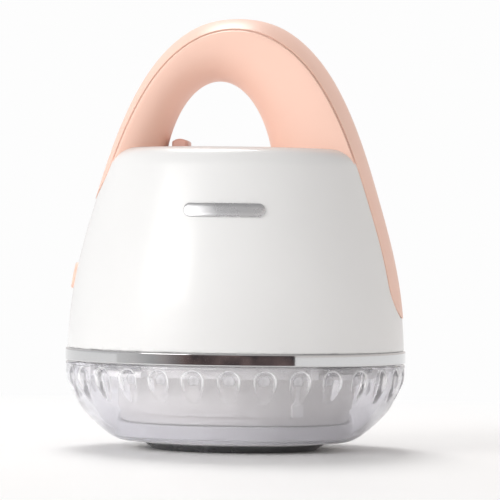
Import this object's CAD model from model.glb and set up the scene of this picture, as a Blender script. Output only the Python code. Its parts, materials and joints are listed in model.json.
"""Rechargeable fabric shaver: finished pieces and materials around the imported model, as an add-on."""

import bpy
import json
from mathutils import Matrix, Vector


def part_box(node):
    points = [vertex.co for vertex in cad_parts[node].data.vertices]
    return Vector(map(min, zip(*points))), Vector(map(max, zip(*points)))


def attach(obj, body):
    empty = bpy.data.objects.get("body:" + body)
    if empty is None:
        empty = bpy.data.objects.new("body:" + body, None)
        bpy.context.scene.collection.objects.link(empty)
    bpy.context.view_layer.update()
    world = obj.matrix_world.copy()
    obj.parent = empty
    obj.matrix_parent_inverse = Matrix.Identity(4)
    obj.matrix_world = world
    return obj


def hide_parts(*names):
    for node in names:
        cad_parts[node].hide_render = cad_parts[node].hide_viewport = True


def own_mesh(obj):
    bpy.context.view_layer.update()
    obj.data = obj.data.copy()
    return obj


bl_info = {
    "name": "Fabric Shaver Finish",
    "version": (1, 0, 0),
    "blender": (4, 5, 0),
    "location": "View3D > Sidebar > Shaver",
    "description": "Builds the visible pieces of a fabric shaver and their materials",
    "category": "Object",
}

import json
import math

import bmesh
import bpy
import numpy as np
from bpy.props import FloatProperty, FloatVectorProperty, IntProperty, PointerProperty
from mathutils import Matrix, Vector
from mathutils.bvhtree import BVHTree

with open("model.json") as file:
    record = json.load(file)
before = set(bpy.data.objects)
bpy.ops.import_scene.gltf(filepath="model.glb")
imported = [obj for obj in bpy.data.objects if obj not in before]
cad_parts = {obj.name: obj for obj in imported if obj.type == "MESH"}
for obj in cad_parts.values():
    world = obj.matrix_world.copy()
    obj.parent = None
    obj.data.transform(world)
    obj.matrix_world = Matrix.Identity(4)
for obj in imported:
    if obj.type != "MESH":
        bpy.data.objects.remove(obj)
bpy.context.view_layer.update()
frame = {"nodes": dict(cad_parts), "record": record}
MM = 0.001
FLUTE_LAYER = "flute_edge"               # how frosted each point of the cup is, 0 to 1
FROST = 0.75                             # share of frost at the very edge of a flute
RIB_FOOT, RIB_FACE = 0.0297, 0.0300      # radii between which the housing's rib turns paler

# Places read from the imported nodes, in metres.
BAND_LOW, BAND_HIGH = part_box("handle_band")
RING_LOW, RING_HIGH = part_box("trim_ring")
KNOB_LOW, KNOB_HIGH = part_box("power_knob")
BEZEL_LOW, BEZEL_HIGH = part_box("switch_bezel")
BADGE_LOW, BADGE_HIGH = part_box("front_badge")
PORT_LOW, PORT_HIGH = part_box("socket_surround")

# The egg-shaped envelope that the body and the grip share: (radius, height) stations in millimetres.
EGG = [(42.8, 23.7), (41.8, 37.6), (39.4, 50.3), (35.9, 62.9), (31.9, 75.6),
       (26.7, 88.2), (20.3, 98.4), (15.3, 103.4), (10.2, 106.6), (0.0, 108.6)]
BODY_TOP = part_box("body_shell")[1].z
SEAM_Z = RING_HIGH.z
CUP_RADIUS, CUP_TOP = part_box("lint_cup")[1].xz
TIP_RIGHT = BAND_LOW.z
MIDDLE = Vector((0, 0, 0.05))


def metres(name, text, value, low=0.0, high=0.2):
    """A length that the user can change."""
    return FloatProperty(name=name, description=text, default=value, min=low, max=high,
                         unit="LENGTH", subtype="DISTANCE", precision=5)


def colour(name, text, value):
    """A colour that the user can change."""
    return FloatVectorProperty(name=name, description=text, default=value, min=0.0, max=1.0,
                               size=3, subtype="COLOR")


class ShaverSizes(bpy.types.PropertyGroup):
    """Sizes of the finished pieces."""
    body_inset: metres("Body inset", "Distance of the white body inside the grip band's surface", 0.0002)
    body_wall: metres("Body wall", "Wall of the white body", 0.0028)
    top_fillet: metres("Top fillet", "Rounding of the body's top edge", 0.0065)
    band_half: metres("Band half width", "Half the width of the grip's outer band", BAND_HIGH.y)
    band_wall: metres("Band wall", "Thickness of the grip's outer band", 0.0016)
    band_gap: metres("Band gap", "Fine groove around the band", 0.00014)
    tongue_end: metres("Tongue end", "Height of the band's rounded ends", 0.009)
    tip_left: metres("Short tongue tip", "Lowest point of the short tongue", 0.0625)
    grip_half: metres("Grip half depth", "Half the depth of the grip", 0.0131)
    grip_x: metres("Opening centre", "Sideways place of the finger opening", -0.0048, -0.05)
    grip_z: metres("Opening base", "Height of the centre of the opening's ellipse", 0.066)
    grip_a: metres("Opening half width", "Half width of the opening's ellipse", 0.0142)
    grip_b: metres("Opening height", "Half height of the opening's ellipse", 0.0268)
    edge: metres("Edge rounding", "Rounding of moulded edges", 0.0003)
    flute_radius: metres("Flute radius", "Radius of each scooped flute", 0.00353)
    flute_place: metres("Flute place", "Radius at which the flute's axis stands", 0.04513)
    flute_top: metres("Flute top", "Centre of the flute's round top", 0.01835)
    flute_lean: FloatProperty(name="Flute lean", description="How far the flutes follow the wall's slope",
                              default=0.5, min=0.0, max=1.0)
    flute_edge: metres("Flute edge", "Softness of the flutes' edges", 0.0001)
    flute_count: IntProperty(name="Flutes", description="Flutes around the lint cup", default=30, min=3)


class ShaverColours(bpy.types.PropertyGroup):
    """Colours of the finishes."""
    white: colour("White", "Glossy body", (0.81, 0.81, 0.805))
    pink: colour("Pink", "Satin grip", (0.935, 0.615, 0.50))
    rose: colour("Rose", "Slide switch knob", (0.73, 0.425, 0.355))
    cup: colour("Cup", "Clear lint cup", (0.97, 0.965, 0.975))
    cup_edge: colour("Cup edge", "Clear lint cup seen edge on", (0.86, 0.86, 0.95))
    housing: colour("Housing", "Cutter housing behind the cup", (0.82, 0.80, 0.79))
    chrome: colour("Chrome", "Ring and plain bar", (0.63, 0.63, 0.635))


def sizes():
    return bpy.context.scene.shaver_sizes


def colours():
    return bpy.context.scene.shaver_colours


# ---- the envelope -----------------------------------------------------------
def clamped_spline(points, start, end, steps=40):
    """Smooth line through points, with the given directions at its ends."""
    p = np.array(points, float)
    run = np.hypot(*np.diff(p, axis=0).T)
    n = len(p)
    matrix = np.zeros((n, n))
    right = np.zeros((n, 2))
    matrix[0, 0] = matrix[-1, -1] = 1.0
    right[0], right[-1] = start, end
    for i in range(1, n - 1):
        a, b = run[i - 1], run[i]
        matrix[i, i - 1:i + 2] = b, 2 * (a + b), a
        right[i] = 3 * (b * (p[i] - p[i - 1]) / a + a * (p[i + 1] - p[i]) / b)
    slope = np.linalg.solve(matrix, right)
    line = [p[0]]
    for i in range(n - 1):
        for t in np.linspace(0, 1, steps + 1)[1:]:
            h = run[i]
            line.append((2 * t**3 - 3 * t**2 + 1) * p[i] + (t**3 - 2 * t**2 + t) * h * slope[i]
                        + (3 * t**2 - 2 * t**3) * p[i + 1] + (t**3 - t**2) * h * slope[i + 1])
    return np.array(line)


ENVELOPE = clamped_spline(np.array(EGG) * MM, (-0.03, 1.0), (-1.0, 0.0))


def inset_line(inset):
    """The envelope's (radius, height) line moved inwards."""
    along = np.gradient(ENVELOPE, axis=0)
    along /= np.linalg.norm(along, axis=1)[:, None]
    line = ENVELOPE + np.c_[-along[:, 1], along[:, 0]] * inset
    line[-1, 0] = 0.0
    return line


LINES = {}


def radius_at(height, inset=0.0):
    """Radius of the envelope, moved inwards, at a height."""
    key = round(inset, 7)
    if key not in LINES:
        LINES[key] = inset_line(inset)
    line = LINES[key]
    return float(np.interp(height, line[:, 1], line[:, 0], right=0.0))


def reach(centre, angle, depth, inset=0.0):
    """Distance from a point of the XZ plane to the envelope, in the plane y = depth."""
    low, high = 0.0, 0.08
    for _ in range(34):
        middle = (low + high) / 2
        x = centre[0] + middle * math.cos(angle)
        radius = radius_at(centre[1] + middle * math.sin(angle), inset)
        if x * x + depth * depth < radius * radius:
            low = middle
        else:
            high = middle
    return low


# ---- mesh helpers -------------------------------------------------------------
def finished(name, bm, body, slot, nodes=(), angle=30.0):
    """Object of a mesh, riding on its body and standing for its CAD nodes."""
    mesh = bpy.data.meshes.new(name)
    bm.to_mesh(mesh)
    bm.free()
    mesh.polygons.foreach_set("use_smooth", [True] * len(mesh.polygons))
    mesh.set_sharp_from_angle(angle=math.radians(angle))
    piece = bpy.data.objects.new(name, mesh)
    bpy.context.scene.collection.objects.link(piece)
    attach(piece, body)
    if nodes:
        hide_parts(*nodes)
    mesh.materials.append(bpy.data.materials[MATERIAL_OF[slot]])
    return piece


def tidy(bm, distance=1e-6):
    """Closes seams and poles and turns the faces outwards."""
    bmesh.ops.remove_doubles(bm, verts=bm.verts, dist=distance)
    bmesh.ops.dissolve_degenerate(bm, edges=bm.edges, dist=distance)
    bmesh.ops.recalc_face_normals(bm, faces=bm.faces)
    return bm


def turned(outline, steps=192):
    """Closed ring or bowl turned from its (radius, height) outline."""
    bm = bmesh.new()
    verts = [bm.verts.new((r, 0, z)) for r, z in outline]
    edges = [bm.edges.new(pair) for pair in zip(verts, verts[1:] + verts[:1])]
    bmesh.ops.spin(bm, geom=verts + edges, cent=(0, 0, 0), axis=(0, 0, 1), dvec=(0, 0, 0),
                   angle=math.tau, steps=steps, use_merge=True)
    return tidy(bm)


def evenly(line, count):
    """The same line with evenly spaced points."""
    run = np.r_[0, np.cumsum(np.hypot(*np.diff(line, axis=0).T))]
    at = np.linspace(0, run[-1], count)
    return np.c_[np.interp(at, run, line[:, 0]), np.interp(at, run, line[:, 1])]


def mapped(columns, rows, place):
    """Grid of columns by rows, with place(column, row) giving each corner."""
    bm = bmesh.new()
    bmesh.ops.create_grid(bm, x_segments=columns, y_segments=rows, size=1.0)
    for v in bm.verts:
        column = round((v.co.x + 1) / 2 * columns)
        row = round((v.co.y + 1) / 2 * rows)
        v.co = place(column, row)
    return bm


def block(low, high):
    """Cube stretched between two corners."""
    bm = bmesh.new()
    bmesh.ops.create_cube(bm, size=1.0)
    matrix = Matrix.Translation((low + high) / 2) @ Matrix.Diagonal((*(high - low), 1))
    bmesh.ops.transform(bm, verts=bm.verts, matrix=matrix)
    return bm


def round_off(bm, edges, width, segments):
    """Rounds edges."""
    bmesh.ops.bevel(bm, geom=edges, offset=width, offset_type="OFFSET", affect="EDGES",
                    segments=segments, profile=0.5, material=-1)


def arc(centre, radius, start, end, steps):
    """Points of an arc, angles in degrees."""
    angles = np.radians(np.linspace(start, end, steps + 1))
    return [(centre[0] + radius * math.cos(a), centre[1] + radius * math.sin(a)) for a in angles]


def apply_modifiers(piece):
    """Bakes the modifiers into the piece's own mesh."""
    depsgraph = bpy.context.evaluated_depsgraph_get()
    mesh = bpy.data.meshes.new_from_object(piece.evaluated_get(depsgraph))
    piece.modifiers.clear()
    old = piece.data
    piece.data = mesh
    bpy.data.meshes.remove(old)


def carve(bm, cutters, operation="DIFFERENCE"):
    """Cuts closed meshes out of another and gives back the result."""
    meshes = []
    for part in [bm] + cutters:
        mesh = bpy.data.meshes.new("carve")
        part.to_mesh(mesh)
        part.free()
        meshes.append(mesh)
    base = bpy.data.objects.new("carve_base", meshes[0])
    bpy.context.scene.collection.objects.link(base)
    tools = []
    for mesh in meshes[1:]:
        tool = bpy.data.objects.new("carve_tool", mesh)
        bpy.context.scene.collection.objects.link(tool)
        tools.append(tool)
        modifier = base.modifiers.new("cut", "BOOLEAN")
        modifier.object = tool
        modifier.operation = operation
        modifier.solver = "EXACT"
    bpy.context.view_layer.update()
    apply_modifiers(base)
    result = bmesh.new()
    result.from_mesh(base.data)
    for o in [base] + tools:
        mesh = o.data
        bpy.data.objects.remove(o)
        bpy.data.meshes.remove(mesh)
    return result


def normals_from(piece, source, limit=0.93):
    """Gives faces cut from a smooth surface the normals of that surface before the cut."""
    tree = BVHTree.FromBMesh(source)
    source.normal_update()
    source.faces.ensure_lookup_table()
    mesh = piece.data
    corners = [Vector(c.vector) for c in mesh.corner_normals]
    for polygon in mesh.polygons:
        for loop in polygon.loop_indices:
            co = mesh.vertices[mesh.loops[loop].vertex_index].co
            _, normal, index, distance = tree.find_nearest(co)
            if distance is None or distance > 2e-5 or normal.dot(polygon.normal) < limit:
                continue
            face = source.faces[index]
            weights = [1.0 / (1e-9 + (v.co - co).length) for v in face.verts]
            smooth = sum((v.normal * w for v, w in zip(face.verts, weights)), Vector())
            if smooth.length > 0:
                corners[loop] = smooth.normalized()
    mesh.normals_split_custom_set(corners)
    source.free()


# ---- materials --------------------------------------------------------------
def shader(name):
    """New material with its Principled node and object coordinates."""
    material = bpy.data.materials.new(name)
    material.use_nodes = True
    tree = material.node_tree
    principled = tree.nodes["Principled BSDF"]
    coordinates = tree.nodes.new("ShaderNodeTexCoord")
    return material, tree, principled, coordinates.outputs["Object"]


def noise(tree, vector, scale, detail=3.0, stretch=None):
    """Noise over the object, stretched along an axis if asked."""
    if stretch:
        mapping = tree.nodes.new("ShaderNodeMapping")
        mapping.inputs["Scale"].default_value = stretch
        tree.links.new(vector, mapping.inputs["Vector"])
        vector = mapping.outputs["Vector"]
    node = tree.nodes.new("ShaderNodeTexNoise")
    node.inputs["Scale"].default_value = scale
    node.inputs["Detail"].default_value = detail
    tree.links.new(vector, node.inputs["Vector"])
    return node.outputs["Fac"]


def spread(tree, value, low, high, first=0.3, last=0.7):
    """Maps a value from the range first to last to the range low to high."""
    node = tree.nodes.new("ShaderNodeMapRange")
    node.inputs["From Min"].default_value = first
    node.inputs["From Max"].default_value = last
    node.inputs["To Min"].default_value = low
    node.inputs["To Max"].default_value = high
    tree.links.new(value, node.inputs["Value"])
    return node.outputs["Result"]


def two_tone(tree, value, first, second):
    """Colour between two, each a tone or another node's output."""
    node = tree.nodes.new("ShaderNodeMix")
    node.data_type = "RGBA"
    tree.links.new(value, node.inputs["Factor"])
    for name, tone in (("A", first), ("B", second)):
        if isinstance(tone, bpy.types.NodeSocket):
            tree.links.new(tone, node.inputs[name])
        else:
            node.inputs[name].default_value = (*tone, 1.0)
    return node.outputs["Result"]


def mixed(tree, value, first, second):
    """Shader between two others."""
    node = tree.nodes.new("ShaderNodeMixShader")
    tree.links.new(value, node.inputs["Fac"])
    tree.links.new(first, node.inputs[1])
    tree.links.new(second, node.inputs[2])
    return node.outputs["Shader"]


def measured(tree, vector, operation, axis=None):
    """Number worked out from a vector: its LENGTH, or its DOT_PRODUCT with an axis."""
    node = tree.nodes.new("ShaderNodeVectorMath")
    node.operation = operation
    tree.links.new(vector, node.inputs[0])
    if axis is not None:
        node.inputs[1].default_value = axis
    return node.outputs["Value"]


def relief(tree, principled, value, depth, strength=1.0):
    """Fine relief of the surface."""
    node = tree.nodes.new("ShaderNodeBump")
    node.inputs["Distance"].default_value = depth
    node.inputs["Strength"].default_value = strength
    tree.links.new(value, node.inputs["Height"])
    tree.links.new(node.outputs["Normal"], principled.inputs["Normal"])


def shade(tone, factor):
    """A tone made lighter or darker."""
    return tuple(min(1.0, c * factor) for c in tone)


def moulded(name, tone, roughness, variation=0.02, grain=900.0, depth=2e-6, coat=0.0, warmth=0.0,
            coat_roughness=0.04, uneven=0.15):
    """Moulded plastic: faint drift of the tone, uneven gloss and a fine skin."""
    material, tree, principled, at = shader(name)
    drift = noise(tree, at, 60.0)
    tinted = tuple(c * (1 + w) for c, w in zip(tone, (warmth, 0.0, -warmth)))
    tone_out = two_tone(tree, spread(tree, drift, 0.0, 1.0),
                        shade(tinted, 1 - variation), shade(tone, 1 + variation))
    tree.links.new(tone_out, principled.inputs["Base Color"])
    gloss = spread(tree, noise(tree, at, 140.0, 4.0), roughness * (1 - uneven), roughness * (1 + uneven))
    tree.links.new(gloss, principled.inputs["Roughness"])
    relief(tree, principled, noise(tree, at, grain, 2.0), depth)
    principled.inputs["Coat Weight"].default_value = coat
    principled.inputs["Coat Roughness"].default_value = coat_roughness
    return material


def metal(name, tone, roughness, stretch=(1, 1, 1), scale=900.0, depth=1e-6, variation=0.04):
    """Metal with a fine directional grain."""
    material, tree, principled, at = shader(name)
    grain = noise(tree, at, scale, 3.0, stretch)
    tone_out = two_tone(tree, spread(tree, grain, 0.0, 1.0),
                        shade(tone, 1 - variation), shade(tone, 1 + variation))
    tree.links.new(tone_out, principled.inputs["Base Color"])
    gloss = spread(tree, noise(tree, at, 120.0, 4.0), roughness * 0.8, roughness * 1.2)
    tree.links.new(gloss, principled.inputs["Roughness"])
    relief(tree, principled, grain, depth)
    principled.inputs["Metallic"].default_value = 1.0
    return material


def glossy_white():
    return moulded("glossy_white_plastic", colours().white, 0.30, variation=0.006, grain=700.0,
                   depth=1.5e-6, coat=0.22, coat_roughness=0.12, uneven=0.02)


def satin_pink():
    return moulded("satin_pink_plastic", colours().pink, 0.45, variation=0.012, grain=1600.0,
                   coat=0.15, warmth=0.004, coat_roughness=0.45)


def rose_knob():
    return moulded("rose_knob_plastic", colours().rose, 0.38, grain=1600.0, depth=3e-6, coat=0.05)


def housing_plastic():
    """Grey plastic of the cutter housing, paler on the rib that stands proud of its tube."""
    material = moulded("housing_plastic", colours().housing, 0.35, grain=1200.0)
    tree = material.node_tree
    base = tree.nodes["Principled BSDF"].inputs["Base Color"]
    flat = tree.nodes.new("ShaderNodeVectorMath")
    flat.operation = "MULTIPLY"
    flat.inputs[1].default_value = (1.0, 1.0, 0.0)
    tree.links.new(tree.nodes["Texture Coordinate"].outputs["Object"], flat.inputs[0])
    radius = measured(tree, flat.outputs["Vector"], "LENGTH")
    proud = spread(tree, radius, 0.0, 1.0, RIB_FOOT, RIB_FACE)
    tree.links.new(two_tone(tree, proud, base.links[0].from_socket, (0.97, 0.96, 0.955)), base)
    return material


def bright_chrome():
    return metal("bright_chrome", colours().chrome, 0.07, (1, 1, 4), scale=500.0, depth=3e-7,
                 variation=0.01)


def clear_plastic():
    """Clear moulded plastic, violet where it is seen edge on and frosted along the flutes' edges."""
    material, tree, principled, at = shader("clear_cup_plastic")
    principled.inputs["Transmission Weight"].default_value = 0.86
    principled.inputs["IOR"].default_value = 1.45
    drift = spread(tree, noise(tree, at, 40.0), 0.0, 1.0)
    tone_out = two_tone(tree, drift, shade(colours().cup, 0.985), colours().cup)
    facing = tree.nodes.new("ShaderNodeLayerWeight")
    facing.inputs["Blend"].default_value = 0.35
    violet = two_tone(tree, facing.outputs["Facing"], tone_out, colours().cup_edge)
    tree.links.new(violet, principled.inputs["Base Color"])
    gloss = spread(tree, noise(tree, at, 160.0, 4.0), 0.02, 0.06)
    tree.links.new(gloss, principled.inputs["Roughness"])
    relief(tree, principled, noise(tree, at, 260.0, 2.0), 4e-6, 0.6)
    frost = tree.nodes.new("ShaderNodeBsdfPrincipled")
    frost.inputs["Base Color"].default_value = (0.93, 0.93, 0.95, 1.0)
    frost.inputs["Roughness"].default_value = 0.25
    edges = tree.nodes.new("ShaderNodeAttribute")
    edges.attribute_name = FLUTE_LAYER
    share = spread(tree, edges.outputs["Fac"], 0.0, FROST, 0.0, 1.0)
    frosted = mixed(tree, share, principled.outputs["BSDF"], frost.outputs["BSDF"])
    path = tree.nodes.new("ShaderNodeLightPath")
    through = tree.nodes.new("ShaderNodeBsdfTransparent")
    through.inputs["Color"].default_value = (0.91, 0.905, 0.915, 1.0)
    surface = mixed(tree, path.outputs["Is Shadow Ray"], frosted, through.outputs["BSDF"])
    tree.links.new(surface, tree.nodes["Material Output"].inputs["Surface"])
    return material


def circuit_board():
    """Green solder mask with lighter tracks."""
    material, tree, principled, at = shader("solder_mask")
    brick = tree.nodes.new("ShaderNodeTexBrick")
    brick.inputs["Scale"].default_value = 420.0
    brick.inputs["Color1"].default_value = (0.012, 0.10, 0.045, 1)
    brick.inputs["Color2"].default_value = (0.010, 0.085, 0.04, 1)
    brick.inputs["Mortar"].default_value = (0.03, 0.19, 0.09, 1)
    brick.inputs["Mortar Size"].default_value = 0.03
    tree.links.new(at, brick.inputs["Vector"])
    tree.links.new(brick.outputs["Color"], principled.inputs["Base Color"])
    principled.inputs["Roughness"].default_value = 0.35
    relief(tree, principled, brick.outputs["Fac"], 2e-5)
    return material


def battery_sleeve():
    """Shrink sleeve with a pale band around the cell."""
    material, tree, principled, at = shader("battery_sleeve")
    wave = tree.nodes.new("ShaderNodeTexWave")
    wave.inputs["Scale"].default_value = 9.0
    tree.links.new(at, wave.inputs["Vector"])
    tone_out = two_tone(tree, spread(tree, wave.outputs["Fac"], 0.0, 1.0, 0.45, 0.55),
                        (0.05, 0.12, 0.30), (0.62, 0.66, 0.70))
    tree.links.new(tone_out, principled.inputs["Base Color"])
    principled.inputs["Roughness"].default_value = 0.3
    relief(tree, principled, noise(tree, at, 700.0), 3e-6)
    return material


MATERIAL_OF = {
    "white_shell": "glossy_white_plastic",
    "pink_grip": "satin_pink_plastic",
    "rose_knob": "rose_knob_plastic",
    "chrome_trim": "bright_chrome",
    "clear_cup": "clear_cup_plastic",
    "housing_grey": "housing_plastic",
    "foil_ring_grey": "foil_ring_plastic",
    "frame_grey": "frame_plastic",
    "hub_plastic": "hub_plastic",
    "black_plastic": "black_plastic",
    "board_green": "solder_mask",
    "battery_case": "battery_sleeve",
    "contact_brass": "contact_brass",
    "screw_steel": "zinc_screw",
    "socket_steel": "socket_steel",
    "motor_steel": "motor_can_steel",
    "core_steel": "laminated_core",
    "spring_steel": "spring_wire",
    "blade_steel": "ground_blade",
    "foil_steel": "etched_foil",
    "magnet_grey": "sintered_magnet",
}


def make_materials():
    """Every finish of the shaver, then each CAD node takes the finish of its slot."""
    glossy_white()
    satin_pink()
    rose_knob()
    housing_plastic()
    bright_chrome()
    clear_plastic()
    circuit_board()
    battery_sleeve()
    moulded("foil_ring_plastic", (0.86, 0.85, 0.835), 0.3)
    moulded("frame_plastic", (0.40, 0.40, 0.40), 0.5, 0.04)
    moulded("hub_plastic", (0.62, 0.60, 0.57), 0.4, 0.03)
    moulded("black_plastic", (0.02, 0.02, 0.022), 0.45, 0.08)
    metal("satin_bar", (0.66, 0.66, 0.67), 0.32, (1, 1, 6))
    metal("contact_brass", (0.83, 0.62, 0.28), 0.25)
    metal("zinc_screw", (0.62, 0.62, 0.64), 0.3)
    metal("socket_steel", (0.68, 0.68, 0.70), 0.25, (4, 1, 1))
    metal("motor_can_steel", (0.60, 0.60, 0.62), 0.35, (1, 1, 8))
    metal("laminated_core", (0.30, 0.30, 0.32), 0.5, (1, 1, 30), 1500.0, 1e-5, 0.2)
    metal("spring_wire", (0.66, 0.66, 0.68), 0.25)
    metal("ground_blade", (0.70, 0.70, 0.72), 0.22, (6, 1, 1))
    metal("etched_foil", (0.30, 0.30, 0.31), 0.3, (1, 1, 1), 1400.0, 2e-6, 0.06)
    metal("sintered_magnet", (0.10, 0.10, 0.11), 0.6, (1, 1, 1), 2000.0, 6e-6, 0.2)
    slot_of = {s["node"]: s["material_slot"] for s in frame["record"]["subparts"]}
    for node, piece in frame["nodes"].items():
        piece.data.materials.clear()
        piece.data.materials.append(bpy.data.materials[MATERIAL_OF[slot_of[node]]])


# ---- grip band ----------------------------------------------------------------
BAND_COLUMNS = 24
TONGUE_ROWS, RIGHT_ROWS, ARCH_ROWS, LEFT_ROWS = 10, 22, 72, 3   # rounded ends, sides and arch


def band_sheet(half_width, tip_right, tip_left, inset):
    """Open sheet in the shape of the band: up the long tongue, over the top, down the short one."""
    end = sizes().tongue_end
    ease = [1 - math.cos(math.pi / 2 * i / TONGUE_ROWS) for i in range(TONGUE_ROWS)]
    right, left = tip_right + end, tip_left + end
    stations = [(1, tip_right + end * share, tip_right) for share in ease]
    stations += [(1, right + (BODY_TOP - right) * i / RIGHT_ROWS, tip_right) for i in range(RIGHT_ROWS)]
    stations += [(0, math.pi * i / ARCH_ROWS, None) for i in range(ARCH_ROWS + 1)]
    stations += [(-1, BODY_TOP + (left - BODY_TOP) * i / LEFT_ROWS, tip_left) for i in range(1, LEFT_ROWS + 1)]
    stations += [(-1, tip_left + end * share, tip_left) for share in reversed(ease)]

    def place(column, row):
        side, value, tip = stations[row]
        y = half_width * (2.0 * column / BAND_COLUMNS - 1.0)
        if side:
            drop = max(0.0, tip + end - value)
            y *= math.sqrt(max(0.0, 1 - (drop / end) ** 2))
            x = math.sqrt(max(0.0, radius_at(value, inset) ** 2 - y * y))
            return Vector((side * x, y, value))
        distance = reach((0.0, BODY_TOP), value, y, inset)
        return Vector((distance * math.cos(value), y, BODY_TOP + distance * math.sin(value)))

    return tidy(mapped(BAND_COLUMNS, len(stations) - 1, place), 2e-7)


def thickened(bm, thickness):
    """Gives a sheet a wall, measured inwards from it."""
    bm.faces.ensure_lookup_table()
    face = bm.faces[0]
    if face.normal.dot(face.calc_center_median() - MIDDLE) < 0:
        bmesh.ops.reverse_faces(bm, faces=bm.faces)
    bmesh.ops.solidify(bm, geom=bm.faces, thickness=thickness)
    return bm


def make_band():
    """Outer band of the grip with its two tongues and rounded edges."""
    s = sizes()
    bm = band_sheet(s.band_half, TIP_RIGHT, s.tip_left, 0.0)
    bm = thickened(bm, s.band_wall)
    piece = finished("grip_band", bm, "housing", "pink_grip", ["handle_band"], 40)
    bevel = piece.modifiers.new("edges", "BEVEL")
    bevel.width = s.edge
    bevel.segments = 3
    bevel.limit_method = "ANGLE"
    bevel.angle_limit = math.radians(50)
    bevel.harden_normals = True
    apply_modifiers(piece)
    return piece


# ---- grip halves ---------------------------------------------------------------
GRIP_FOOT = 9.0        # angle above the level at which a half's foot ends, inside the body
GRIP_SKIN = 0.0005     # wall of a half


def make_half(name, node, side):
    """Half of the grip: lip beside the band, bulging wall, fine seam on the ridge."""
    s = sizes()
    centre = (s.grip_x, s.grip_z)
    columns, bulge = 96, 26
    first, last = math.radians(GRIP_FOOT), math.radians(180.0 - GRIP_FOOT)
    lip = s.band_half + s.band_gap
    stations = ["floor", "wall", "brow"]
    stations += [math.radians(90.0 * (i + 0.6) / (bulge + 0.6)) for i in range(bulge)]
    stations += ["ridge", "seam"]

    def place(column, row):
        angle = first + (last - first) * column / columns
        across = s.grip_b * math.cos(angle)
        up = s.grip_a * math.sin(angle)
        near = s.grip_a * s.grip_b / math.hypot(across, up)
        station = stations[row]
        if station == "floor":
            y, distance = lip, reach(centre, angle, lip, s.band_wall)
        elif station == "wall":
            y, distance = lip, reach(centre, angle, lip, s.body_inset + 0.0001)
        elif station == "brow":
            y = s.grip_half - 0.00012
            distance = reach(centre, angle, y, s.body_inset + 0.00003)
        elif station == "ridge":
            y, distance = 0.00010, near
        elif station == "seam":
            y, distance = 0.0, near + 0.00012
        else:
            y = s.grip_half * math.cos(station)
            far = reach(centre, angle, s.grip_half, s.body_inset)
            distance = far + (near - far) * math.sin(station)
        x = centre[0] + distance * math.cos(angle)
        return Vector((x, side * y, centre[1] + distance * math.sin(angle)))

    bm = mapped(columns, len(stations) - 1, place)
    bmesh.ops.recalc_face_normals(bm, faces=bm.faces)
    bm.faces.ensure_lookup_table()
    middle = bm.faces[len(bm.faces) // 2]
    bm.normal_update()
    if middle.normal.y * side < 0:
        bmesh.ops.reverse_faces(bm, faces=bm.faces)
    bmesh.ops.solidify(bm, geom=bm.faces, thickness=GRIP_SKIN)
    return finished(name, bm, "housing", "pink_grip", [node], 35)


# ---- white body -----------------------------------------------------------------
def fillet_centre(radius, inset):
    """Centre of the top rounding, the height where it meets the wall and its angle there."""
    z = BODY_TOP - radius
    low, high = 0.0, 0.05
    line = inset_line(inset)
    for _ in range(40):
        r = (low + high) / 2
        near = np.hypot(line[:, 0] - r, line[:, 1] - z).min()
        if near > radius:
            low = r
        else:
            high = r
    touch = line[np.hypot(line[:, 0] - r, line[:, 1] - z).argmin()]
    return r, z, touch[1], math.degrees(math.atan2(touch[1] - z, touch[0] - r))


def make_body():
    """One-piece bell with beds for the tongues, the switch and the socket surround."""
    s = sizes()
    inner = s.body_inset + s.body_wall
    low = SEAM_Z + 0.00002
    fillet = s.top_fillet
    outline = [(radius_at(low, s.body_inset) - 0.0003, low)]
    heights = np.linspace(low + 0.0003, BODY_TOP, 54)
    outline += [(radius_at(h, s.body_inset), h) for h in heights]
    shoulder = fillet_centre(fillet, s.body_inset)
    outline = [p for p in outline if p[1] < shoulder[2]]
    outline += arc(shoulder[:2], fillet, shoulder[3], 90, 14)
    outline += [(r * MM, BODY_TOP) for r in (22, 16, 11, 6, 0)]
    ceiling = BODY_TOP - s.body_wall
    outline += [(0, ceiling), (radius_at(ceiling, inner), ceiling)]
    outline += [(radius_at(h, inner), h) for h in np.linspace(ceiling, low, 16)[1:]]
    body = turned(outline, 256)
    keep = body.copy()
    gap = s.band_gap
    proud = 0.002
    bed = band_sheet(s.band_half + gap, TIP_RIGHT - gap, s.tip_left - gap, -proud)
    bed = thickened(bed, proud + s.band_wall + 0.0001)
    well = block(BEZEL_LOW - Vector((0.0001, 0.0001, 0)), BEZEL_HIGH + Vector((0.0001, 0.0001, 0.004)))
    port = stadium_bar(PORT_LOW, PORT_HIGH, 0.00005, -0.046, -0.034)
    body = carve(body, [bed, well, port])
    piece = finished("white_body", tidy(body, 5e-7), "housing", "white_shell", ["body_shell"], 32)
    normals_from(piece, keep)
    return piece


def stadium_bar(low, high, grow, x0, x1):
    """Bar along X with the stadium section of a node's box, a little larger."""
    radius = (high.z - low.z) / 2 + grow
    half = (high.y - low.y) / 2 - (high.z - low.z) / 2
    z = (high.z + low.z) / 2
    bm = bmesh.new()
    outline = stadium_path(half, 16, 1)[:-1]
    face = bm.faces.new([bm.verts.new((x0, start + radius * math.cos(turn), z + radius * math.sin(turn)))
                         for start, turn in outline])
    extruded = bmesh.ops.extrude_face_region(bm, geom=[face])
    moved = [g for g in extruded["geom"] if isinstance(g, bmesh.types.BMVert)]
    bmesh.ops.translate(bm, verts=moved, vec=(x1 - x0, 0, 0))
    bmesh.ops.recalc_face_normals(bm, faces=bm.faces)
    return bm


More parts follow.
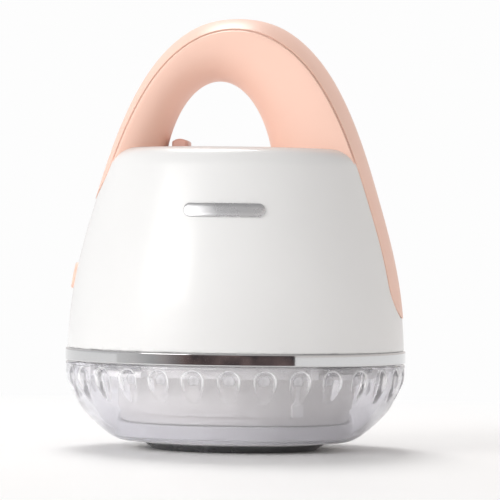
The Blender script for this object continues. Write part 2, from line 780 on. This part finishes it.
# ---- ring, badge, socket surround, knob ----------------------------------------------
def make_ring():
    """Chrome ring with a softly crowned face."""
    low, high = RING_LOW.z, RING_HIGH.z
    outer = RING_HIGH.x
    middle = (low + high) / 2
    half = (high - low) / 2
    outline = []
    for i in range(41):
        share = math.sin(math.pi * (i / 40 - 0.5))
        crown = 0.00045 * abs(share) ** 16 + 0.00002 * share * share
        outline.append((outer - crown, middle + share * half))
    outline += [(0.0398, high), (0.0398, 0.023), (0.0411, 0.023), (0.0411, low)]
    return finished("chrome_ring", turned(outline, 320), "housing", "chrome_trim", ["trim_ring"])


def stadium_path(half, around=20, along=20):
    """Steps around a stadium outline: place on its middle line and turn from it."""
    path = [(half, math.pi * (i / around - 0.5)) for i in range(around)]
    path += [(half - 2 * half * i / along, math.pi / 2) for i in range(along)]
    path += [(-half, math.pi * (i / around + 0.5)) for i in range(around)]
    path += [(2 * half * i / along - half, -math.pi / 2) for i in range(along)]
    return path + path[:1]


def stadium_rim(low, high, sections):
    """Rings of a stadium outline that follow the body's side at -X: (offset, height above) per section."""
    radius = (high.z - low.z) / 2
    path = stadium_path((high.y - low.y) / 2 - radius)
    middle = (high.z + low.z) / 2

    def place(column, row):
        offset, above = sections[row]
        start, turn = path[column]
        y = start + (radius + offset) * math.cos(turn)
        z = middle + (radius + offset) * math.sin(turn)
        x = math.sqrt(radius_at(z) ** 2 - y * y) + above
        return Vector((-x, y, z))

    return tidy(mapped(len(path) - 1, len(sections) - 1, place))


def make_surround():
    """Raised oval surround of the charging socket with a rounded rim."""
    lip = 0.00045
    mouth = -(PORT_HIGH.z - PORT_LOW.z) / 2 + 0.00185
    sections = [(0.0, -0.003), (0.0, lip - 0.0003), (-0.0001, lip - 0.0001), (-0.0003, lip),
                (-0.0009, lip), (mouth + 0.0003, lip - 0.0002), (mouth, lip - 0.0006),
                (mouth, -0.003), (0.0, -0.003)]
    bm = stadium_rim(PORT_LOW, PORT_HIGH, sections)
    return finished("socket_rim", bm, "housing", "pink_grip", ["socket_surround"], 50)


def make_badge():
    """Plain polished bar on the front of the body."""
    radius = (BADGE_HIGH.z - BADGE_LOW.z) / 2
    middle = (BADGE_HIGH.z + BADGE_LOW.z) / 2
    sections = [(1.0, -0.0002), (1.0, 0.00015), (0.95, 0.00027), (0.85, 0.00034),
                (0.4, 0.00035), (0.0, 0.00035)]
    path = stadium_path(BADGE_HIGH.x - radius)

    def place(column, row):
        share, above = sections[row]
        start, turn = path[column]
        x = start + radius * share * math.cos(turn)
        z = middle + radius * share * math.sin(turn)
        y = math.sqrt(radius_at(z) ** 2 - x * x) + above
        return Vector((x, -y, z))

    bm = tidy(mapped(len(path) - 1, len(sections) - 1, place))
    bmesh.ops.holes_fill(bm, edges=[e for e in bm.edges if e.is_boundary])
    bmesh.ops.recalc_face_normals(bm, faces=bm.faces)
    bar = finished("front_bar", bm, "housing", "chrome_trim", ["front_badge"], 60)
    bar.data.materials[0] = bpy.data.materials["satin_bar"]
    return bar


def make_knob():
    """Slide switch knob: crowned cap with rounded corners, and its stem."""
    floor = BODY_TOP + 0.0003
    slim = Vector((0.00035, 0, 0))
    low = Vector((KNOB_LOW.x, KNOB_LOW.y, floor)) + slim
    high = KNOB_HIGH - slim
    size = high - low
    middle = (high + low) / 2
    bm = block(low, high)
    upright = [e for e in bm.edges if abs(e.verts[0].co.z - e.verts[1].co.z) > 0.001]
    round_off(bm, upright, 0.0009, 6)
    top = [f for f in bm.faces if f.normal.z > 0.9]
    round_off(bm, [e for f in top for e in f.edges], 0.0007, 5)
    for i in range(1, 12):
        x = low.x + size.x * i / 12
        geometry = list(bm.verts) + list(bm.edges) + list(bm.faces)
        bmesh.ops.bisect_plane(bm, geom=geometry, plane_co=(x, 0, 0), plane_no=(1, 0, 0))
    crown = 0.0007
    for v in bm.verts:
        lift = max(0.0, (v.co.z - floor) / size.z)
        v.co.z -= crown * (2 * (v.co.x - middle.x) / size.x) ** 2 * lift ** 3
    stem = block(Vector((middle.x - 0.0015, -0.0013, KNOB_LOW.z)),
                 Vector((middle.x + 0.0015, 0.0013, floor + 0.0005)))
    round_off(stem, stem.edges[:], 0.0002, 2)
    mesh = bpy.data.meshes.new("stem")
    stem.to_mesh(mesh)
    stem.free()
    bm.from_mesh(mesh)
    bpy.data.meshes.remove(mesh)
    return finished("switch_knob", bm, "power_slider", "rose_knob", ["power_knob"], 40)


# ---- cutter spring --------------------------------------------------------------------
def make_spring():
    """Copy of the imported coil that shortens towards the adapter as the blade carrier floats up."""
    bm = bmesh.new()
    bm.from_mesh(frame["nodes"]["cutter_spring"].data)
    bmesh.ops.remove_doubles(bm, verts=bm.verts, dist=1e-7)
    coil = finished("cutter_coil", bm, "rotor", "spring_steel", ["cutter_spring"], 40)
    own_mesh(coil)
    return coil


# ---- lint cup -------------------------------------------------------------------------
# Outside and inside of its wall: (radius, height) stations in millimetres.
CUP_OUTSIDE = [(42.75, 20.9), (42.7, 18.3), (41.3, 14.7), (38.5, 9.7), (35.1, 6.2), (31.6, 3.4), (29.0, 2.3)]
CUP_INSIDE = [(29.8, 4.3), (31.4, 5.4), (34.0, 7.7), (36.9, 10.8), (39.5, 15.2), (40.6, 18.4), (40.6, 21.7)]
CUP_RIM = 0.0429
STEPS_PER_FLUTE = 24
LUGS, LUG_AT, LUG_SPAN = 4, 49, 20                   # first lug and length of each, in degrees
COLLAR_RADIUS, COLLAR_TOP, COLLAR_FROST = 0.0300, 0.0077, 0.8
FLUTE_INSIDE, FLUTE_LOWEST, FLUTE_HIGHEST = 0.0405, 0.012, 0.02115   # flutes are pressed only out here
FLUTE_FIRST = 3.0                                    # degrees from the front to the middle of a flute
FADE_FROM, FADE_OVER, FADED = 0.0150, 0.0035, 0.15   # the frosted edge fades downwards


def make_cup():
    """Clear bowl with a lip, a ring of scooped flutes and a collar round the foil head."""
    s = sizes()
    outer = evenly(clamped_spline(np.array(CUP_OUTSIDE) * MM, (0, -1), (-1, -0.25), 40), 72)
    inner = clamped_spline(np.array(CUP_INSIDE) * MM, (0.9, 0.4), (0, 1), 6)
    outline = [tuple(p) for p in outer]
    outline += arc((0.0286, 0.0026), 0.0003, 250, 180, 3)
    outline += arc((0.0286, 0.0073), 0.0003, 180, 90, 3) + arc((0.0295, 0.0073), 0.0003, 90, 0, 3)
    outline += [tuple(p) for p in inner[:-1]]
    outline += arc((0.0409, CUP_TOP - 0.0003), 0.0003, 180, 90, 3)
    outline += arc((CUP_RIM - 0.0003, CUP_TOP - 0.0003), 0.0003, 90, 0, 3)
    outline += [(CUP_RIM, 0.0212), (CUP_RIM - 0.0001, 0.02105)]
    cup = turned(outline, s.flute_count * STEPS_PER_FLUTE)
    layer = cup.verts.layers.float.new(FLUTE_LAYER)
    for v in cup.verts:
        v[layer] = press_flute(v, s)
    lugs = [arc_block(0.0382, 0.0409, 0.0204, 0.0215, LUG_AT + 360 / LUGS * i, LUG_SPAN) for i in range(LUGS)]
    cup = carve(cup, lugs, "UNION")
    return finished("clear_cup", tidy(cup, 5e-7), "lint_cup", "clear_cup", ["lint_cup"], 50)


def press_flute(v, s):
    """Moves a point of the cup's outside in where an upright round-ended flute scoops the wall.
    Gives back how frosted the point is, from 0 to 1: the flutes' edges and the collar are."""
    radius = math.hypot(v.co.x, v.co.y)
    if v.co.z < COLLAR_TOP and radius < COLLAR_RADIUS:
        return COLLAR_FROST
    if radius < FLUTE_INSIDE or not FLUTE_LOWEST <= v.co.z <= FLUTE_HIGHEST:
        return 0.0
    place = s.flute_place - s.flute_lean * max(0.0, CUP_RADIUS - radius)
    pitch = math.tau / s.flute_count
    turn = math.atan2(v.co.y, v.co.x) + math.pi / 2 - math.radians(FLUTE_FIRST)
    turn = (turn + pitch / 2) % pitch - pitch / 2
    rise = max(0.0, v.co.z - s.flute_top)
    size = math.sqrt(max(0.0, s.flute_radius ** 2 - rise ** 2))
    away = math.sqrt(radius ** 2 + place ** 2 - 2 * radius * place * math.cos(turn))
    half = place * math.sin(turn)
    if away < size:
        depth = radius - place * math.cos(turn) + math.sqrt(max(0.0, size ** 2 - half ** 2))
    else:
        depth = (size - away) * 1.2
    soft = s.flute_edge
    nearness = math.exp(-(depth / (2.4 * soft)) ** 2)
    nearness *= min(1.0, max(FADED, (v.co.z - FADE_FROM) / FADE_OVER))
    depth = soft * math.log1p(math.exp(min(60.0, depth / soft)))
    v.co.x *= 1 - depth / radius
    v.co.y *= 1 - depth / radius
    return nearness


def arc_block(inner, outer, low, high, centre, span, steps=10):
    """Block bent about the upright axis; centre and span in degrees from the front towards +X."""
    bm = bmesh.new()
    start = math.radians(centre - 90 - span / 2)
    corners = [(inner, low), (outer, low), (outer, high), (inner, high)]
    verts = [bm.verts.new((r * math.cos(start), r * math.sin(start), z)) for r, z in corners]
    face = bm.faces.new(verts)
    bmesh.ops.spin(bm, geom=[face], cent=(0, 0, 0), axis=(0, 0, 1), dvec=(0, 0, 0),
                   angle=math.radians(span), steps=steps, use_merge=False)
    return tidy(bm, 1e-7)


# ---- stage ------------------------------------------------------------------------------
# Room, in light: walls at the left and the right of the camera, ceiling, and the plain backdrop.
WALL_LEFT = (0.74, 0.74, 0.75)
WALL_RIGHT = (0.78, 0.735, 0.71)
CEILING = (0.42, 0.415, 0.415)
BACKDROP = (0.983, 0.983, 0.983)
# Lamps in watts, each with its angle to the right of the camera, its lift, distance, width and height.
KEY_POWER, KEY_PLACE, KEY_SIZE = 4.6, (-50, 17, 1.0), (0.6, 0.5)
TOP_POWER, TOP_PLACE, TOP_SIZE = 4.4, (-168, 60, 0.9), (0.32, 0.32)
# Distance from the shaver at which the floor starts to turn to bare backdrop, and where it has turned.
FLOOR_REAL, FLOOR_PAPER = 0.13, 0.30
# Dark card in front of the ring: its ends in degrees to the right of the camera, height and distance,
# and how far to the left it starts and ends turning as pale as the wall.
FLAG_LEFT, FLAG_RIGHT = -78.0, 36.0
FLAG_TOP, FLAG_RADIUS = 0.075, 0.20
FLAG_DARK, FLAG_PALE = 0.10, 0.196
# Camera: degrees to the right of the front, distance, height, lens, roll, and the point it looks at.
CAMERA_TURN = 5.0
CAMERA_DISTANCE, CAMERA_HEIGHT = 0.90, 0.0525
CAMERA_LENS, CAMERA_SENSOR, CAMERA_ROLL = 256.0, 36.0, 0.75
AIM_ASIDE, AIM_HEIGHT = 0.0033, 0.05025


def around_camera(turn, lift, distance, height=MIDDLE.z):
    """Point seen from the shaver at an angle to the right of the camera and a lift, in degrees."""
    azimuth = math.radians(CAMERA_TURN - 90.0 + turn)
    level = math.cos(math.radians(lift)) * distance
    rise = height + distance * math.sin(math.radians(lift))
    return Vector((level * math.cos(azimuth), level * math.sin(azimuth), rise))


def staged(name, bm):
    """Object of the stage made from a mesh."""
    mesh = bpy.data.meshes.new(name)
    bm.to_mesh(mesh)
    bm.free()
    piece = bpy.data.objects.new(name, mesh)
    bpy.context.scene.collection.objects.link(piece)
    return piece


def add_lamp(name, place, size, power, tone):
    """Rectangular soft lamp aimed at the shaver."""
    data = bpy.data.lights.new(name, "AREA")
    data.shape = "RECTANGLE"
    data.size, data.size_y = size
    data.energy = power
    data.color = tone
    lamp = bpy.data.objects.new(name, data)
    lamp.location = around_camera(*place)
    lamp.rotation_euler = (MIDDLE - lamp.location).to_track_quat("-Z", "Y").to_euler()
    bpy.context.scene.collection.objects.link(lamp)


def make_room():
    """Plain pale surroundings: neutral at the left, warm at the right, dimmer above."""
    world = bpy.data.worlds.new("room")
    bpy.context.scene.world = world
    world.use_nodes = True
    tree = world.node_tree
    room = tree.nodes["Background"]
    direction = tree.nodes.new("ShaderNodeTexCoord").outputs["Generated"]
    aside = measured(tree, direction, "DOT_PRODUCT", around_camera(-75, 0, 1.0, 0.0))
    above = measured(tree, direction, "DOT_PRODUCT", Vector((0, 0, 1)))
    walls = two_tone(tree, spread(tree, aside, 0.0, 1.0, -0.7, 0.7), WALL_RIGHT, WALL_LEFT)
    tone = two_tone(tree, spread(tree, above, 0.0, 1.0, 0.45, 0.62), walls, CEILING)
    tree.links.new(tone, room.inputs["Color"])
    backdrop = tree.nodes.new("ShaderNodeBackground")
    backdrop.inputs["Color"].default_value = (*BACKDROP, 1.0)
    path = tree.nodes.new("ShaderNodeLightPath")
    surface = mixed(tree, path.outputs["Is Camera Ray"], room.outputs["Background"],
                    backdrop.outputs["Background"])
    tree.links.new(surface, tree.nodes["World Output"].inputs["Surface"])


def make_flag():
    """Dark card that only the polished pieces mirror, from the left front to the right."""
    bm = bmesh.new()
    foot = around_camera(FLAG_LEFT, 0, FLAG_RADIUS, 0.0)
    verts = [bm.verts.new(foot), bm.verts.new(foot + Vector((0, 0, FLAG_TOP)))]
    edge = bm.edges.new(verts)
    bmesh.ops.spin(bm, geom=verts + [edge], cent=(0, 0, 0), axis=(0, 0, 1), dvec=(0, 0, 0),
                   angle=math.radians(FLAG_RIGHT - FLAG_LEFT), steps=24, use_merge=False)
    flag = staged("flag", bm)
    material, tree, principled, at = shader("dark_card")
    drift = spread(tree, noise(tree, at, 24.0, 3.0), 0.0, 1.0)
    dark = two_tone(tree, drift, (0.02, 0.021, 0.028), (0.24, 0.17, 0.16))
    aside = measured(tree, at, "DOT_PRODUCT", around_camera(-90, 0, 1.0, 0.0))
    tone = two_tone(tree, spread(tree, aside, 0.0, 1.0, FLAG_DARK, FLAG_PALE), dark, (0.77, 0.77, 0.77))
    principled.inputs["Base Color"].default_value = (0, 0, 0, 1)
    principled.inputs["Specular IOR Level"].default_value = 0.0
    tree.links.new(tone, principled.inputs["Emission Color"])
    principled.inputs["Emission Strength"].default_value = 1.0
    flag.data.materials.append(material)
    flag.visible_camera = False
    flag.visible_diffuse = False
    flag.visible_shadow = False
    flag.visible_transmission = False


def make_floor():
    """Pale floor that turns to bare backdrop away from the shaver."""
    bm = bmesh.new()
    bmesh.ops.create_grid(bm, x_segments=8, y_segments=8, size=4.0)
    floor = staged("floor", bm)
    material, tree, principled, at = shader("pale_floor")
    tone_out = two_tone(tree, noise(tree, at, 6.0), (0.965, 0.965, 0.965), (0.985, 0.985, 0.985))
    tree.links.new(tone_out, principled.inputs["Base Color"])
    principled.inputs["Roughness"].default_value = 0.45
    principled.inputs["Specular IOR Level"].default_value = 0.3
    paper = tree.nodes.new("ShaderNodeEmission")
    paper.inputs["Color"].default_value = (*BACKDROP, 1.0)
    away = spread(tree, measured(tree, at, "LENGTH"), 0.0, 1.0, FLOOR_REAL, FLOOR_PAPER)
    surface = mixed(tree, away, principled.outputs["BSDF"], paper.outputs["Emission"])
    tree.links.new(surface, tree.nodes["Material Output"].inputs["Surface"])
    floor.data.materials.append(material)


def make_camera():
    """Camera nearly level with the middle of the shaver, a little to its right."""
    data = bpy.data.cameras.new("camera")
    data.lens = CAMERA_LENS
    data.sensor_width = CAMERA_SENSOR
    camera = bpy.data.objects.new("camera", data)
    azimuth = math.radians(CAMERA_TURN)
    aside = AIM_ASIDE * Vector((math.cos(azimuth), math.sin(azimuth), 0.0))
    back = Vector((math.sin(azimuth), -math.cos(azimuth), 0.0))
    aim = aside + Vector((0, 0, AIM_HEIGHT))
    place = aside + back * CAMERA_DISTANCE + Vector((0, 0, CAMERA_HEIGHT))
    turn = (aim - place).to_track_quat("-Z", "Y").to_matrix().to_4x4()
    roll = Matrix.Rotation(math.radians(CAMERA_ROLL), 4, "Z")
    camera.matrix_world = Matrix.Translation(place) @ turn @ roll
    bpy.context.scene.collection.objects.link(camera)
    bpy.context.scene.camera = camera


def make_stage():
    """Pale floor, plain bright room, a soft key lamp at the left front, a lamp behind, the camera."""
    bpy.context.scene.view_settings.view_transform = "Standard"
    make_floor()
    make_room()
    make_flag()
    add_lamp("key", KEY_PLACE, KEY_SIZE, KEY_POWER, (1.0, 0.99, 0.975))
    add_lamp("top", TOP_PLACE, TOP_SIZE, TOP_POWER, (1.0, 0.99, 0.98))
    make_camera()


# ---- operators ---------------------------------------------------------------------------
class SHAVER_OT_finishes(bpy.types.Operator):
    """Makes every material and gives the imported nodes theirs"""
    bl_idname = "shaver.finishes"
    bl_label = "Finishes"

    def execute(self, context):
        make_materials()
        return {"FINISHED"}


class SHAVER_OT_grip(bpy.types.Operator):
    """Builds the grip's outer band and its two halves"""
    bl_idname = "shaver.grip"
    bl_label = "Grip"

    def execute(self, context):
        make_band()
        make_half("grip_front", "handle_front_half", -1)
        make_half("grip_rear", "handle_rear_half", 1)
        return {"FINISHED"}


class SHAVER_OT_body(bpy.types.Operator):
    """Builds the white body with its beds for band, switch and socket"""
    bl_idname = "shaver.body"
    bl_label = "White body"

    def execute(self, context):
        make_body()
        return {"FINISHED"}


class SHAVER_OT_trim(bpy.types.Operator):
    """Builds the chrome ring, the plain front bar and the socket surround"""
    bl_idname = "shaver.trim"
    bl_label = "Trim"

    def execute(self, context):
        make_ring()
        make_badge()
        make_surround()
        return {"FINISHED"}


class SHAVER_OT_switch(bpy.types.Operator):
    """Builds the slide switch knob"""
    bl_idname = "shaver.switch"
    bl_label = "Switch"

    def execute(self, context):
        make_knob()
        return {"FINISHED"}


class SHAVER_OT_spring(bpy.types.Operator):
    """Builds the cutter's coil spring"""
    bl_idname = "shaver.spring"
    bl_label = "Cutter spring"

    def execute(self, context):
        make_spring()
        return {"FINISHED"}


class SHAVER_OT_cup(bpy.types.Operator):
    """Builds the clear fluted lint cup"""
    bl_idname = "shaver.cup"
    bl_label = "Lint cup"

    def execute(self, context):
        make_cup()
        return {"FINISHED"}


class SHAVER_OT_stage(bpy.types.Operator):
    """Sets the floor, the light and the camera"""
    bl_idname = "shaver.stage"
    bl_label = "Stage"

    def execute(self, context):
        make_stage()
        return {"FINISHED"}


STEPS = (SHAVER_OT_finishes, SHAVER_OT_grip, SHAVER_OT_body, SHAVER_OT_trim, SHAVER_OT_switch,
         SHAVER_OT_spring, SHAVER_OT_cup, SHAVER_OT_stage)


class SHAVER_PT_panel(bpy.types.Panel):
    """Lists the shaver's steps, sizes and colours"""
    bl_idname = "SHAVER_PT_panel"
    bl_label = "Fabric Shaver"
    bl_space_type = "VIEW_3D"
    bl_region_type = "UI"
    bl_category = "Shaver"

    def draw(self, context):
        layout = self.layout
        for step in STEPS:
            layout.operator(step.bl_idname)
        for group in (context.scene.shaver_sizes, context.scene.shaver_colours):
            column = layout.column()
            for name in group.__annotations__:
                column.prop(group, name)


CLASSES = (ShaverSizes, ShaverColours) + STEPS + (SHAVER_PT_panel,)


def register():
    for cls in CLASSES:
        bpy.utils.register_class(cls)
    bpy.types.Scene.shaver_sizes = PointerProperty(type=ShaverSizes)
    bpy.types.Scene.shaver_colours = PointerProperty(type=ShaverColours)


def unregister():
    del bpy.types.Scene.shaver_colours
    del bpy.types.Scene.shaver_sizes
    for cls in reversed(CLASSES):
        bpy.utils.unregister_class(cls)


def main():
    register()
    bpy.ops.shaver.finishes()
    bpy.ops.shaver.grip()
    bpy.ops.shaver.body()
    bpy.ops.shaver.trim()
    bpy.ops.shaver.switch()
    bpy.ops.shaver.spring()
    bpy.ops.shaver.cup()
    bpy.ops.shaver.stage()


if __name__ == "__main__":
    main()
